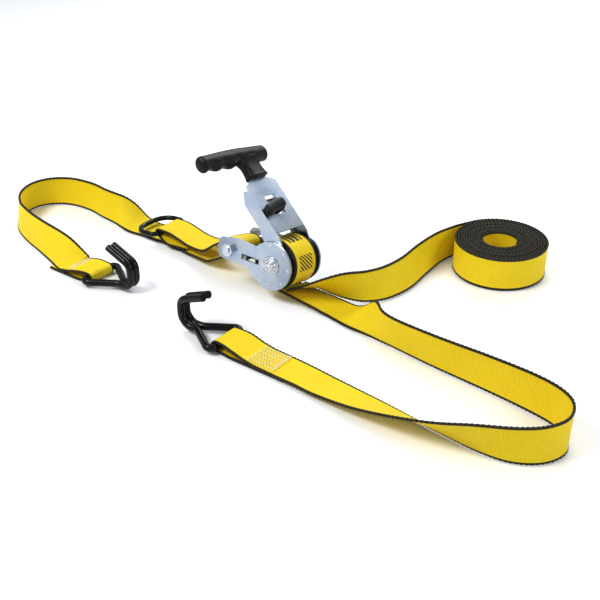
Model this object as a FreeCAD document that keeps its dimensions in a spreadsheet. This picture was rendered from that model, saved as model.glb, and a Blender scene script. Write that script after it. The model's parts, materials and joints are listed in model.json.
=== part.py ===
import FreeCAD, Part
import math
import os
import Sketcher
from FreeCAD import Placement, Rotation, Vector

# Ratchet tie down with two webbing straps, laid out on a flat surface, z = 0.
# X runs along the ratchet's frame from the strap bolt to the spool, and Y along the spool's axle.

SIZES = {
    "webbing_width": 38.0,
    "webbing_thick": 1.8,
    "bolt_distance": 57.0,
    "bolt_height": 3.0,
    "bolt_radius": 4.0,
    "frame_tail": 16.0,
    "head_radius": 26.5,
    "plate_thick": 2.5,
    "flange_thick": 2.0,
    "wheel_thick": 2.5,
    "wheel_radius": 21.0,
    "tooth_depth": 4.0,
    "tooth_count": 12.0,
    "side_gap": 0.6,
    "spool_radius": 8.0,
    "spool_slot": 2.6,
    "wrap_radius": 29.0,
    "cap_radius": 11.0,
    "cap_step_radius": 7.0,
    "cap_thick": 2.2,
    "axle_height": 36.5,
    "side_tilt": 10.0,
    "handle_lean": 48.0,
    "web_offset": 28.0,
    "web_start": 24.0,
    "web_end": 106.0,
    "flange_end": 78.0,
    "flange_hub_radius": 15.0,
    "neck_width": 24.0,
    "grip_length": 106.0,
    "grip_shift": 19.0,
    "grip_radius": 10.0,
    "grip_distance": 119.0,
    "hook_wire": 8.0,
    "hook_bar_over": 7.0,
    "hook_reach": 36.0,
    "hook_bend": 15.0,
    "ring_wire": 6.0,
    "ring_over": 7.0,
    "ring_bow": 34.0,
    "roll_turns": 11.0,
    "roll_pitch": 3.0,
    "roll_hole_radius": 20.0,
}

doc = FreeCAD.newDocument("ratchet_tie_down")
sheet = doc.addObject("Spreadsheet::Sheet", "Sizes")
for row, (alias, value) in enumerate(SIZES.items(), start=1):
    sheet.set("A%d" % row, alias)
    sheet.set("B%d" % row, str(value))
    sheet.setAlias("B%d" % row, alias)
doc.recompute()

# Every shape below takes its sizes from the sheet.
for alias in SIZES:
    SIZES[alias] = float(sheet.get(alias))

HALF_WEB = SIZES["webbing_width"] / 2
SPOOL_SIDE = HALF_WEB + 1.0
WHEEL_OUT = SPOOL_SIDE + SIZES["wheel_thick"]
FLANGE_IN = WHEEL_OUT + SIZES["side_gap"]
FLANGE_OUT = FLANGE_IN + SIZES["flange_thick"]
PLATE_IN = FLANGE_OUT + SIZES["side_gap"]
PLATE_OUT = PLATE_IN + SIZES["plate_thick"]
CAP_OUT = PLATE_OUT + 0.1 + SIZES["cap_thick"]
NODES = []

# The spool's axle is the ratchet's own Y axis; its far side lies lower than its near side.
RATCHET = Placement(Vector(0, 0, SIZES["axle_height"]), Rotation(Vector(1, 0, 0), -SIZES["side_tilt"]))
# The handle's own Z runs along its arm and its own X points out of the arm's back.
HANDLE = RATCHET * Placement(Vector(), Rotation(Vector(0, 1, 0), -SIZES["handle_lean"]))


def keep(obj, node, placement=None):
    """Names a finished sub-part and puts it in its place."""
    obj.Label = node
    if placement is not None:
        obj.Placement = placement * obj.Placement
    NODES.append(obj)
    return obj


def cylinder(name, radius, length, start, along="y"):
    """A round bar from start, along its axis, with both sizes read from the sheet."""
    obj = doc.addObject("Part::Cylinder", name)
    obj.setExpression("Radius", radius)
    obj.setExpression("Height", length)
    turn = {
        "x": Rotation(Vector(0, 1, 0), 90),
        "y": Rotation(Vector(1, 0, 0), -90),
        "z": Rotation(),
    }[along]
    obj.Placement = Placement(Vector(*start), turn)
    return obj


def box(name, size, corner):
    obj = doc.addObject("Part::Box", name)
    for side, value in zip(("Length", "Width", "Height"), size):
        obj.setExpression(side, str(value))
    obj.Placement = Placement(Vector(*corner), Rotation())
    return obj


def cut(name, base, *tools):
    result = base
    for number, tool in enumerate(tools):
        joined = doc.addObject("Part::Cut", "%s_cut%d" % (name, number))
        joined.Base = result
        joined.Tool = tool
        result = joined
    return result


def fuse(name, *shapes):
    joined = doc.addObject("Part::MultiFuse", name)
    joined.Shapes = list(shapes)
    joined.Refine = True
    return joined


def origin_plane(body, role):
    return next(item for item in body.Origin.OriginFeatures if item.Role == role)


def sketch_on(body, name, offset_y=0.0):
    """A sketch in the XZ plane, its own Y along Z, moved along Y."""
    sketch = body.newObject("Sketcher::SketchObject", name)
    sketch.AttachmentSupport = [(origin_plane(body, "XZ_Plane"), "")]
    sketch.MapMode = "FlatFace"
    sketch.AttachmentOffset = Placement(Vector(0, 0, -offset_y), Rotation())
    return sketch


def outline(sketch, points):
    """A closed outline of straight runs, each corner tied to the next and fixed."""
    count = len(points)
    for here, there in zip(points, points[1:] + points[:1]):
        sketch.addGeometry(Part.LineSegment(Vector(*here, 0), Vector(*there, 0)), False)
    for number in range(count):
        sketch.addConstraint(Sketcher.Constraint("Coincident", number, 2, (number + 1) % count, 1))


def circle(sketch, centre, expression, value):
    index = sketch.addGeometry(Part.Circle(Vector(*centre, 0), Vector(0, 0, 1), value), False)
    place = sketch.addConstraint(Sketcher.Constraint("Radius", index, value))
    sketch.setExpression("Constraints[%d]" % place, expression)


def pad(body, sketch, name, expression):
    """Pads a sketch towards +Y."""
    feature = body.newObject("PartDesign::Pad", name)
    feature.Profile = sketch
    feature.setExpression("Length", expression)
    feature.Reversed = True
    return feature


def pocket(body, sketch, name):
    feature = body.newObject("PartDesign::Pocket", name)
    feature.Profile = sketch
    feature.Type = "ThroughAll"
    feature.Midplane = True
    return feature


# ---------------------------------------------------------------- base frame
BOLT = (-SIZES["bolt_distance"], SIZES["bolt_height"])
TAIL_X = BOLT[0] - SIZES["frame_tail"]
PAWL_SLOT = (-40.0, -15.0, 6.0)


def base_plate(node, inner_y):
    """A side plate: round head at the spool, a notch, and an arm to the strap bolt."""
    body = doc.addObject("PartDesign::Body", node + "_body")
    head = SIZES["head_radius"]
    notch = (-head * math.cos(math.radians(37)), head * math.sin(math.radians(37)))
    foot = (-head * math.cos(math.radians(48)), -head * math.sin(math.radians(48)))
    arm = [notch, (BOLT[0] + 9, BOLT[1] + 15), (TAIL_X + 3, BOLT[1] + 11), (TAIL_X, BOLT[1] + 7),
           (TAIL_X, BOLT[1] - 8), (TAIL_X + 4, BOLT[1] - 12), (BOLT[0] + 25, BOLT[1] - 13), foot]
    profile = sketch_on(body, node + "_outline", inner_y)
    for here, there in zip(arm[:-1], arm[1:]):
        profile.addGeometry(Part.LineSegment(Vector(*here, 0), Vector(*there, 0)), False)
    over = Part.Arc(Vector(*foot, 0), Vector(head, 0, 0), Vector(*notch, 0))
    profile.addGeometry(over, False)
    for number in range(len(arm) - 2):
        profile.addConstraint(Sketcher.Constraint("Coincident", number, 2, number + 1, 1))
    pad(body, profile, node + "_plate", "Sizes.plate_thick")
    holes = sketch_on(body, node + "_holes", inner_y)
    circle(holes, (0, 0), "Sizes.spool_radius + 0.05", SIZES["spool_radius"] + 0.05)
    circle(holes, BOLT, "Sizes.bolt_radius + 0.05", SIZES["bolt_radius"] + 0.05)
    pocket(body, holes, node + "_bores")
    slot = sketch_on(body, node + "_slot", inner_y)
    left, right, tall = PAWL_SLOT
    outline(slot, [(left, -tall / 2), (right - 1, -tall / 2), (right - 1, tall / 2), (left, tall / 2)])
    body.Tip = pocket(body, slot, node + "_slot_cut")
    keep(body, node, RATCHET)


base_plate("base_plate_near", -PLATE_OUT)
base_plate("base_plate_far", PLATE_IN)

# The strap bolt goes through both plates and the sleeve that the short strap is wound on.
SHANK_OVER = 8.0
bolt_shank = cylinder("bolt_shank", "Sizes.bolt_radius", str(2 * PLATE_OUT + SHANK_OVER),
                      (BOLT[0], -PLATE_OUT - SHANK_OVER + 1, BOLT[1]))
bolt_head = cylinder("bolt_head", "Sizes.bolt_radius + 3", "3.5", (BOLT[0], PLATE_OUT, BOLT[1]))
keep(fuse("bolt_whole", bolt_shank, bolt_head), "strap_bolt", RATCHET)

nut_block = doc.addObject("Part::Prism", "nut_block")
nut_block.Polygon = 6
nut_block.setExpression("Circumradius", "Sizes.bolt_radius + 3.6")
nut_block.Height = 5.5
ALONG_AXLE = Rotation(Vector(1, 0, 0), -90)
nut_block.Placement = Placement(Vector(BOLT[0], -PLATE_OUT - 5.5, BOLT[1]), ALONG_AXLE)
nut_bore = cylinder("nut_bore", "Sizes.bolt_radius", "9", (BOLT[0], -PLATE_OUT - 7, BOLT[1]))
keep(cut("nut", nut_block, nut_bore), "strap_nut", RATCHET)

SLEEVE_RADIUS = SIZES["bolt_radius"] + 1.6
sleeve_tube = cylinder("sleeve_tube", str(SLEEVE_RADIUS), str(2 * PLATE_IN - 0.2),
                       (BOLT[0], -PLATE_IN + 0.1, BOLT[1]))
sleeve_bore = cylinder("sleeve_bore", "Sizes.bolt_radius", str(2 * PLATE_IN + 2),
                       (BOLT[0], -PLATE_IN - 1, BOLT[1]))
keep(cut("sleeve", sleeve_tube, sleeve_bore), "bolt_sleeve", RATCHET)

# Lock pawl: a flat bar through both plates' slots that slides towards the wheels, with an arm
# for each wheel.
PAWL_THICK = PAWL_SLOT[2] - 1.6
PAWL_BACK = -35.2
PAWL_DEEP = 3.4
pawl_bar = box("lock_bar", (PAWL_DEEP, 2 * PLATE_OUT + 4, PAWL_THICK),
               (PAWL_BACK, -PLATE_OUT - 2, -PAWL_THICK / 2))
PAWL_TIP = -SIZES["wheel_radius"] - 0.3
NOSE_THICK = 2.2
ARM_BACK = PAWL_BACK + PAWL_DEEP - 0.4
WHEEL_MIDDLE = SPOOL_SIDE + SIZES["wheel_thick"] / 2
NOSE_WIDE = SIZES["wheel_thick"] - 0.2
pawl_noses = []
for side in (-1, 1):
    corner = (ARM_BACK, side * WHEEL_MIDDLE - NOSE_WIDE / 2, -NOSE_THICK / 2)
    pawl_noses.append(box("lock_nose%d" % (side + 1), (PAWL_TIP - ARM_BACK, NOSE_WIDE, NOSE_THICK), corner))
keep(fuse("lock_pawl_whole", pawl_bar, *pawl_noses), "lock_pawl", RATCHET)

SPRING_RADIUS = 2.6
SPRING_SEAT = BOLT[0] + SLEEVE_RADIUS + SIZES["webbing_thick"] + 4.0


def coil_spring(node, start, length, along, coils, placement):
    """A closed-ended coil spring drawn as its rings of wire on one backing tube."""
    tube = cylinder(node + "_tube", str(SPRING_RADIUS), str(length), start, along)
    bore = cylinder(node + "_bore", str(SPRING_RADIUS - 0.9), str(length + 2), start, along)
    direction = {"x": Vector(1, 0, 0), "z": Vector(0, 0, 1)}[along]
    bore.Placement.Base = bore.Placement.Base - direction
    rings = []
    for number in range(coils):
        ring = doc.addObject("Part::Torus", "%s_ring%d" % (node, number))
        ring.Radius1 = SPRING_RADIUS
        ring.Radius2 = 0.45
        middle = Vector(*start) + direction * (length * (number + 0.5) / coils)
        ring.Placement = Placement(middle, tube.Placement.Rotation)
        rings.append(ring)
    body = fuse(node + "_wound", tube, *rings)
    keep(cut(node, body, bore), node, placement)


coil_spring("lock_pawl_spring", (SPRING_SEAT, 0, 0), -35.3 - SPRING_SEAT, "x", 6, RATCHET)
seat = box("seat_block", (3.0, 2 * PLATE_IN - 0.2, 9.0), (SPRING_SEAT - 3.05, -PLATE_IN + 0.1, -6.5))
keep(seat, "frame_crossbar", RATCHET)

# ---------------------------------------------------------------- spool
for node, side in (("spool_half_front", 1), ("spool_half_rear", -1)):
    bar = cylinder(node + "_bar", "Sizes.spool_radius", str(2 * PLATE_OUT), (0, -PLATE_OUT, 0))
    gap = SIZES["spool_slot"] / 2
    waste_corner = (-30 if side > 0 else -gap, -PLATE_OUT - 1, -15)
    waste = box(node + "_waste", (30 + gap, 2 * PLATE_OUT + 2, 30), waste_corner)
    keep(cut(node, bar, waste), node, RATCHET)

for node, start in (("ratchet_wheel_near", -WHEEL_OUT), ("ratchet_wheel_far", SPOOL_SIDE)):
    body = doc.addObject("PartDesign::Body", node + "_body")
    blank = sketch_on(body, node + "_blank", start)
    circle(blank, (0, 0), "Sizes.wheel_radius", SIZES["wheel_radius"])
    circle(blank, (0, 0), "Sizes.spool_radius", SIZES["spool_radius"])
    pad(body, blank, node + "_disc", "Sizes.wheel_thick")
    gullet = sketch_on(body, node + "_gullet", start)
    rim = SIZES["wheel_radius"]
    root = rim - SIZES["tooth_depth"]
    step = math.radians(360.0 / SIZES["tooth_count"])
    first = math.radians(176)
    corners = [(rim + 2, first), (root, first), (root, first + 0.25 * step),
               (rim + 2, first + 0.72 * step)]
    outline(gullet, [(reach * math.cos(angle), reach * math.sin(angle)) for reach, angle in corners])
    notch_cut = pocket(body, gullet, node + "_notch")
    teeth = body.newObject("PartDesign::PolarPattern", node + "_teeth")
    teeth.Originals = [notch_cut]
    teeth.Axis = (origin_plane(body, "Y_Axis"), [""])
    teeth.Angle = 360
    teeth.setExpression("Occurrences", "Sizes.tooth_count")
    body.Tip = teeth
    keep(body, node, RATCHET)

for node, side in (("hub_cap_near", -1), ("hub_cap_far", 1)):
    start = PLATE_OUT + 0.1 if side > 0 else -CAP_OUT
    disc = cylinder(node + "_disc", "Sizes.cap_radius", "Sizes.cap_thick", (0, start, 0))
    outer = CAP_OUT if side > 0 else -CAP_OUT - 2.0
    step_disc = cylinder(node + "_step", "Sizes.cap_step_radius", "2", (0, outer, 0))
    hole = cylinder(node + "_hole", "Sizes.spool_slot / 2 - 0.05", "100", (0, -50, 0))
    keep(cut(node + "_drilled", fuse(node + "_whole", disc, step_disc), hole), node, RATCHET)

for node, side in (("hub_pin_near", -1), ("hub_pin_far", 1)):
    low = PLATE_OUT - 9 if side > 0 else -CAP_OUT - 2.8
    pin = cylinder(node + "_pin", "Sizes.spool_slot / 2 - 0.05", str(CAP_OUT + 11.8 - PLATE_OUT),
                   (0, low, 0))
    keep(pin, node, RATCHET)

wrap = cylinder("wrap_outer", "Sizes.wrap_radius", "Sizes.webbing_width", (0, -HALF_WEB, 0))
wrap_bore = cylinder("wrap_bore", "Sizes.spool_radius", "Sizes.webbing_width + 2", (0, -HALF_WEB - 1, 0))
keep(cut("wrap", wrap, wrap_bore), "spool_wrap", RATCHET)

# ---------------------------------------------------------------- handle
WEB = SIZES["web_offset"]
FLANGE_DEEP = 16.0


def handle_channel():
    """Two flanges that turn on the axle, joined by the web along the arm's back."""
    body = doc.addObject("PartDesign::Body", "handle_body")
    hub = SIZES["flange_hub_radius"]
    side_profile = [(-hub, 0), (-hub * 0.7, -hub * 0.7), (0, -hub), (hub * 0.75, -hub * 0.7),
                    (WEB * 0.8, 2),
                    (WEB, 18), (WEB, SIZES["flange_end"]), (WEB - 8, SIZES["flange_end"] + 4),
                    (WEB - FLANGE_DEEP, SIZES["flange_end"] - 8), (WEB - FLANGE_DEEP, 42),
                    (hub * 0.35, hub * 0.95), (-hub * 0.6, hub * 0.75)]
    for name, start in (("near", -FLANGE_OUT), ("far", FLANGE_IN)):
        flange = sketch_on(body, "flange_" + name, start)
        outline(flange, side_profile)
        pad(body, flange, "flange_pad_" + name, "Sizes.flange_thick")
    web = sketch_on(body, "web_section", -FLANGE_OUT)
    thick = SIZES["flange_thick"]
    outline(web, [(WEB - thick, SIZES["web_start"]), (WEB, SIZES["web_start"]),
                  (WEB, SIZES["web_end"]), (WEB - thick, SIZES["web_end"])])
    pad(body, web, "web_pad", str(2 * FLANGE_OUT))
    for name, side in (("near", -1), ("far", 1)):
        trim = body.newObject("Sketcher::SketchObject", "neck_trim_" + name)
        trim.AttachmentSupport = [(origin_plane(body, "YZ_Plane"), "")]
        trim.MapMode = "FlatFace"
        edge = SIZES["neck_width"] / 2
        outside = side * (FLANGE_OUT + 3)
        outline(trim, [(outside, SIZES["flange_end"] + 5), (side * edge, SIZES["flange_end"] + 12),
                       (side * edge, SIZES["web_end"] + 3), (outside, SIZES["web_end"] + 3)])
        pocket(body, trim, "neck_cut_" + name)
    slot = body.newObject("Sketcher::SketchObject", "web_slot")
    slot.AttachmentSupport = [(origin_plane(body, "YZ_Plane"), "")]
    slot.MapMode = "FlatFace"
    outline(slot, [(-9, 44), (9, 44), (9, 68), (-9, 68)])
    pocket(body, slot, "web_slot_cut")
    bore = sketch_on(body, "hub_bore")
    circle(bore, (0, 0), "Sizes.spool_radius + 0.05", SIZES["spool_radius"] + 0.05)
    body.Tip = pocket(body, bore, "hub_bore_cut")
    keep(body, "handle_channel", HANDLE)


handle_channel()

GRIP = SIZES["grip_distance"]
GRIP_X = WEB - SIZES["flange_thick"] / 2
NECK_START = SIZES["flange_end"] + 13
neck = box("grip_neck", (13.0, SIZES["neck_width"] + 6, GRIP - NECK_START),
           (GRIP_X - 6.5, -SIZES["neck_width"] / 2 - 3, NECK_START))
grip_bar = cylinder("grip_bar", "Sizes.grip_radius", "Sizes.grip_length",
                    (GRIP_X, -SIZES["grip_length"] / 2 - SIZES["grip_shift"], GRIP))
neck_slot = box("neck_slot", (SIZES["flange_thick"], SIZES["neck_width"], SIZES["web_end"] - 80),
                (WEB - SIZES["flange_thick"], -SIZES["neck_width"] / 2, 80))
keep(cut("grip", fuse("grip_whole", neck, grip_bar), neck_slot), "t_grip", HANDLE)

# Drive pawl: a plate under the web with a nose over each wheel, pushed down by its spring.
PAWL_Z = 33.0
drive_plate = box("drive_plate", (2.4, 2 * WHEEL_OUT - 6, 14.0), (WEB - 14.5, -WHEEL_OUT + 3, PAWL_Z))
drive_noses = []
for side in (-1, 1):
    low_y = side * (SPOOL_SIDE + SIZES["wheel_thick"] / 2) - SIZES["wheel_thick"] / 2 + 0.1
    wide = SIZES["wheel_thick"] - 0.2
    arm_y = low_y if side < 0 else low_y + wide - 7.0
    drive_noses.append(box("drive_nose%d" % (side + 1), (2.4, wide, 30.5), (WEB - 14.5, low_y, 16.5)))
    drive_noses.append(box("drive_arm%d" % (side + 1), (2.4, 7.0, 6.0), (WEB - 14.5, arm_y, 38.0)))
drive_stem = box("drive_stem", (8.6, 8.0, 4.0), (WEB - 12.2, -4, 41.5))
keep(fuse("drive_pawl_whole", drive_plate, *drive_noses, drive_stem), "drive_pawl", HANDLE)

tab_root = box("tab_root", (12.5, 15.0, 9.0), (WEB - 3.6, -7.5, 47.0))
tab_stem = box("tab_link", (3.0, 8.0, 8.0), (WEB - 6.6, -4, 45.6))
tab_wing = box("tab_wing", (7.0, 26.0, 11.0), (WEB + 2.5, -26, 46.0))
keep(fuse("tab_whole", tab_root, tab_stem, tab_wing), "release_tab", HANDLE)

coil_spring("drive_pawl_spring", (WEB - 13.3, 0, PAWL_Z + 14.1), 18.0, "z", 7, HANDLE)
bridge = box("spring_bridge", (4.0, 2 * FLANGE_IN - 0.1, 3.0),
             (WEB - 15.3, -FLANGE_IN + 0.05, PAWL_Z + 32.2))
keep(bridge, "handle_crossbar", HANDLE)

# ---------------------------------------------------------------- webbing
# A station is x, y, the twist of the webbing's width about its own run, and its lift off the surface.
# A twist of 0 or 180 lies flat and one of 90 stands on edge.
BACK_RUN = [
    (0, 0, -10, 1.6), (30, 0, -6, 0.8), (60, -1, -2, 0), (84, -4, 4, 0), (106, -12, 36, 0),
    (126, -21, 72, 0), (150, -30, 96, 0), (203, -36, 94, 0), (264, -39, 86, 0), (310, -43, 80, 0),
    (338, -50, 82, 0),
]
TURN_RUN = [
    (338, -50, 82, 0), (354, -63, 86, 0), (360, -84, 92, 0), (350, -106, 94, 0), (328, -122, 88, 0),
    (300, -130, 72, 0), (268, -134, 50, 0), (232, -134, 32, 0), (188, -131, 14, 0),
    (145, -128, 4, 0.6),
]
HOOK_RUN = [
    (145, -128, 4, 0.6), (120, -126, 2, 1.2), (95, -125, 0, 2.0), (60, -124, 0, 2.4),
    (36, -124, 0, 3.0),
]
TAIL_RUN = [
    (13, 1, -10, 4.4), (30, 2, -26, 4.3), (50, 7, -52, 3.6), (68, 16, -76, 2.4), (84, 30, -92, 0.5),
    (96, 52, -104, 0), (101, 84, -110, 0), (99, 124, -108, 0), (100, 160, -100, 0), (106, 192, -92, 0),
]
SHORT_BASE = [
    (-104, 6, 180, 6.0), (-140, 13, 180, 2.0), (-180, 19, 180, 0.2), (-212, 20, 180, 0),
]
SHORT_LOOP = [
    (-212, 20, 180, 0), (-240, 17, 174, 0), (-258, 14, 142, 0), (-276, 12, 112, 0), (-300, 13, 104, 0),
    (-330, 17, 100, 0), (-362, 13, 94, 0), (-384, -2, 88, 0), (-392, -26, 84, 0), (-382, -53, 82, 0),
    (-358, -75, 80, 0), (-326, -88, 76, 0), (-288, -97, 70, 0), (-256, -102, 52, 0),
    (-236, -104, 28, 0),
]
SHORT_EYE = [
    (-236, -104, 28, 0), (-222, -104, 10, 0.6), (-203, -104, 2, 3.0),
]


def section_frames(route):
    """The centre, the width direction and the face direction at each station of a route."""
    frames = []
    last = len(route) - 1
    for number, (x, y, twist, lift) in enumerate(route):
        before = route[max(number - 1, 0)]
        after = route[min(number + 1, last)]
        run = Vector(after[0] - before[0], after[1] - before[1], 0).normalize()
        left = Vector(-run.y, run.x, 0)
        angle = math.radians(twist)
        width = left * math.cos(angle) + Vector(0, 0, math.sin(angle))
        face = run.cross(width)
        half_thick = SIZES["webbing_thick"] / 2
        height = HALF_WEB * abs(math.sin(angle)) + half_thick * abs(math.cos(angle)) + lift
        frames.append((Vector(x, y, height), width, face))
    return frames


def ribbon(frames, half_width=HALF_WEB):
    """A closed strip of webbing: a rectangle at each section, joined by flat triangles."""
    thick = SIZES["webbing_thick"]
    rings = []
    for centre, width, face in frames:
        across = width * half_width
        through = face * (thick / 2)
        rings.append([centre - across - through, centre + across - through,
                      centre + across + through, centre - across + through])
    triangles = []
    for here, there in zip(rings[:-1], rings[1:]):
        for side in range(4):
            after = (side + 1) % 4
            if side < 2:
                triangles.append((here[side], here[after], there[after]))
                triangles.append((here[side], there[after], there[side]))
            else:
                triangles.append((here[side], here[after], there[side]))
                triangles.append((here[after], there[after], there[side]))
    for end in (rings[0], rings[-1]):
        triangles.append((end[0], end[1], end[2]))
        triangles.append((end[0], end[2], end[3]))
    faces = [Part.Face(Part.makePolygon([a, b, c, a])) for a, b, c in triangles]
    shell = Part.makeShell(faces)
    shell.sewShape()
    solid = Part.makeSolid(shell)
    if solid.Volume < 0:
        solid.reverse()
    return solid


def webbing(node, shape):
    piece = doc.addObject("Part::Feature", node + "_shape")
    piece.Shape = shape
    keep(piece, node)
    return piece


LONG_FRAMES = section_frames(BACK_RUN + TURN_RUN[1:] + HOOK_RUN[1:])
SHORT_FRAMES = section_frames(SHORT_BASE + SHORT_LOOP[1:] + SHORT_EYE[1:])
TURN_FROM = len(BACK_RUN) - 1
HOOK_FROM = TURN_FROM + len(TURN_RUN) - 1
LOOP_FROM = len(SHORT_BASE) - 1
EYE_FROM = LOOP_FROM + len(SHORT_LOOP) - 1
webbing("long_strap_back_run", ribbon(LONG_FRAMES[:TURN_FROM + 1]))
webbing("long_strap_turn", ribbon(LONG_FRAMES[TURN_FROM:HOOK_FROM + 1]))
webbing("long_strap_tail", ribbon(section_frames(TAIL_RUN)))
webbing("short_strap_base", ribbon(SHORT_FRAMES[:LOOP_FROM + 1]))
webbing("short_strap_loop", ribbon(SHORT_FRAMES[LOOP_FROM:EYE_FROM + 1]))

EYE_HALF = HALF_WEB - 1.8
EYE_GAP = 0.3


def eye_end(node, frames, bar):
    """A doubled webbing end that runs to a hook's bar and round it, drawn in a little at the bar."""
    thick = SIZES["webbing_thick"]
    bore = SIZES["hook_wire"] / 2 + EYE_GAP
    at_bar = Vector(*bar)
    sideways = Vector(0, 1, 0)
    outer = Part.makeCylinder(bore + thick, 2 * EYE_HALF, at_bar - sideways * EYE_HALF, sideways)
    inner = Part.makeCylinder(bore, 2 * HALF_WEB + 2, at_bar - sideways * (HALF_WEB + 1), sideways)
    legs = []
    for sign in (1, -1):
        start = frames[-1][0] + Vector(0, 0, sign * thick * 0.45)
        stop = at_bar + Vector(0, 0, sign * (bore + thick / 2))
        face = (stop - start).normalize().cross(sideways)
        legs.append(ribbon([(start, sideways, face), (stop, sideways, face)], EYE_HALF))
    joined = ribbon(frames).fuse([outer] + legs).cut(inner).removeSplitter()
    webbing(node, joined)


WIRE = SIZES["hook_wire"]
BAR_Z = WIRE / 2 + SIZES["webbing_thick"] + 0.5
LONG_BAR = (20.0, -124.0, BAR_Z)
SHORT_BAR = (-187.0, -104.0, BAR_Z)
eye_end("long_strap_hook_end", LONG_FRAMES[HOOK_FROM:], LONG_BAR)
eye_end("short_strap_hook_end", SHORT_FRAMES[EYE_FROM:], SHORT_BAR)

# The roll: its turns as one closed ring with its hole, and the strap's end lying against it.
ROLL_CENTRE = (163.0, 185.0)
ROLL_RADIUS = SIZES["roll_hole_radius"] + SIZES["roll_turns"] * SIZES["roll_pitch"]
roll_disc = cylinder("roll_disc", str(ROLL_RADIUS), "Sizes.webbing_width", (*ROLL_CENTRE, 0), "z")
roll_hole = cylinder("roll_hole", "Sizes.roll_hole_radius", "Sizes.webbing_width + 2",
                     (*ROLL_CENTRE, -1), "z")
keep(cut("roll", roll_disc, roll_hole), "strap_roll")

# The short strap's return: from the bolt's sleeve down to the ring's bar, round it and back under.
RING_WIRE = SIZES["ring_wire"]
RING_BAR = Vector(-196.0, 20.0, 12.4)
BOLT_AT = RATCHET.multVec(Vector(BOLT[0], 0, BOLT[1]))
STRAP_ACROSS = RATCHET.Rotation.multVec(Vector(0, 1, 0))


def strip_between(points, widths, first_run=None, last_run=None):
    """Webbing through given centres, its end runs fixed where they meet another stretch."""
    frames = []
    last = len(points) - 1
    for number, (point, width) in enumerate(zip(points, widths)):
        run = points[min(number + 1, last)] - points[max(number - 1, 0)]
        if number == 0 and first_run:
            run = first_run
        if number == last and last_run:
            run = last_run
        face = run.cross(width).normalize()
        frames.append((point, width, face))
    return ribbon(frames)


LEVEL = Vector(0, 1, 0)
BACKWARDS = Vector(-1, 0, 0)
RATCHET_UP = RATCHET.Rotation.multVec(Vector(0, 0, 1))
HALF_TURN = (STRAP_ACROSS + LEVEL).normalize()
SLEEVE_OUT = SLEEVE_RADIUS + SIZES["webbing_thick"] / 2 + 0.15
ROUND_BAR = RING_WIRE / 2 + EYE_GAP + SIZES["webbing_thick"] / 2
bolt_side = Vector(-0.05, 0, 0)
top_points = [BOLT_AT + bolt_side + RATCHET_UP * SLEEVE_OUT,
              BOLT_AT + Vector(-8, 0, 0) + RATCHET_UP * (SLEEVE_OUT - 0.6),
              Vector(-90, 4, 33), Vector(-114, 8, 18.0), Vector(-140, 13, 13.4), Vector(-160, 16, 15.4),
              Vector(-178, 19, 17.0), RING_BAR + Vector(0.05, 0, ROUND_BAR)]
top_widths = [STRAP_ACROSS, STRAP_ACROSS, HALF_TURN, LEVEL, LEVEL, LEVEL, LEVEL, LEVEL]
webbing("ring_keeper_strap", strip_between(top_points, top_widths, BACKWARDS, BACKWARDS))
base_start, base_width = SHORT_FRAMES[0][:2]
under_points = [BOLT_AT + bolt_side - RATCHET_UP * SLEEVE_OUT, Vector(-76, 3, 23.0), base_start]
base_run = SHORT_FRAMES[1][0] - base_start
base_run.z = 0
webbing("short_strap_lead", strip_between(under_points, [STRAP_ACROSS, HALF_TURN, base_width],
                                          BACKWARDS, base_run))


def half_round(node, centre, along, radius, toward):
    """Webbing bent half-way round a bar, on the side along X that toward gives."""
    thick = SIZES["webbing_thick"]
    wide = 2 * HALF_WEB
    outer = Part.makeCylinder(radius + thick / 2, wide, centre - along * HALF_WEB, along)
    inner = Part.makeCylinder(radius - thick / 2, wide + 2, centre - along * (HALF_WEB + 1), along)
    reach = 60.0
    corner = centre + Vector(0 if toward > 0 else -reach, -reach / 2, -reach / 2)
    webbing(node, outer.cut(inner).common(Part.makeBox(reach, reach, reach, corner)))


half_round("bolt_strap_turn", BOLT_AT, STRAP_ACROSS, SLEEVE_OUT, 1)

tuck_points = [RING_BAR + Vector(0.05, 0, -ROUND_BAR), Vector(-176, 18, 6.6), Vector(-152, 15, 6.2)]
webbing("ring_keeper_tuck", strip_between(tuck_points, [LEVEL] * 3, Vector(1, 0, 0)))
half_round("ring_keeper_bend", RING_BAR, LEVEL, ROUND_BAR, -1)


# ---------------------------------------------------------------- wire pieces
def wire_sweep(path, radius):
    """A round bar along straight runs and tangent arcs."""
    edge = path.Edges[0]
    start = edge.valueAt(edge.FirstParameter)
    tangent = edge.tangentAt(edge.FirstParameter)
    profile = Part.Wire([Part.makeCircle(radius, start, tangent)])
    return path.makePipeShell([profile], True, False)


def rounded_path(points, radii, closed=False):
    """Straight runs through the points, each inner corner rounded with its own radius."""
    edges = []
    count = len(points)
    corners = range(count) if closed else range(1, count - 1)
    cuts = {}
    for number in corners:
        here = points[number]
        back = (points[number - 1] - here).normalize()
        ahead = (points[(number + 1) % count] - here).normalize()
        half = back.getAngle(ahead) / 2
        radius = radii[number]
        reach = radius / math.tan(half)
        middle_way = (back + ahead).normalize()
        middle = here + middle_way * (radius / math.sin(half) - radius)
        cuts[number] = (here + back * reach, middle, here + ahead * reach)
    order = list(range(count)) + ([0] if closed else [])
    for first, second in zip(order[:-1], order[1:]):
        start = cuts[first][2] if first in cuts else points[first]
        stop = cuts[second][0] if second in cuts else points[second]
        if (stop - start).Length > 1e-6:
            edges.append(Part.LineSegment(start, stop).toShape())
        if second in cuts:
            edges.append(Part.Arc(*cuts[second]).toShape())
    return Part.Wire(edges)


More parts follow.
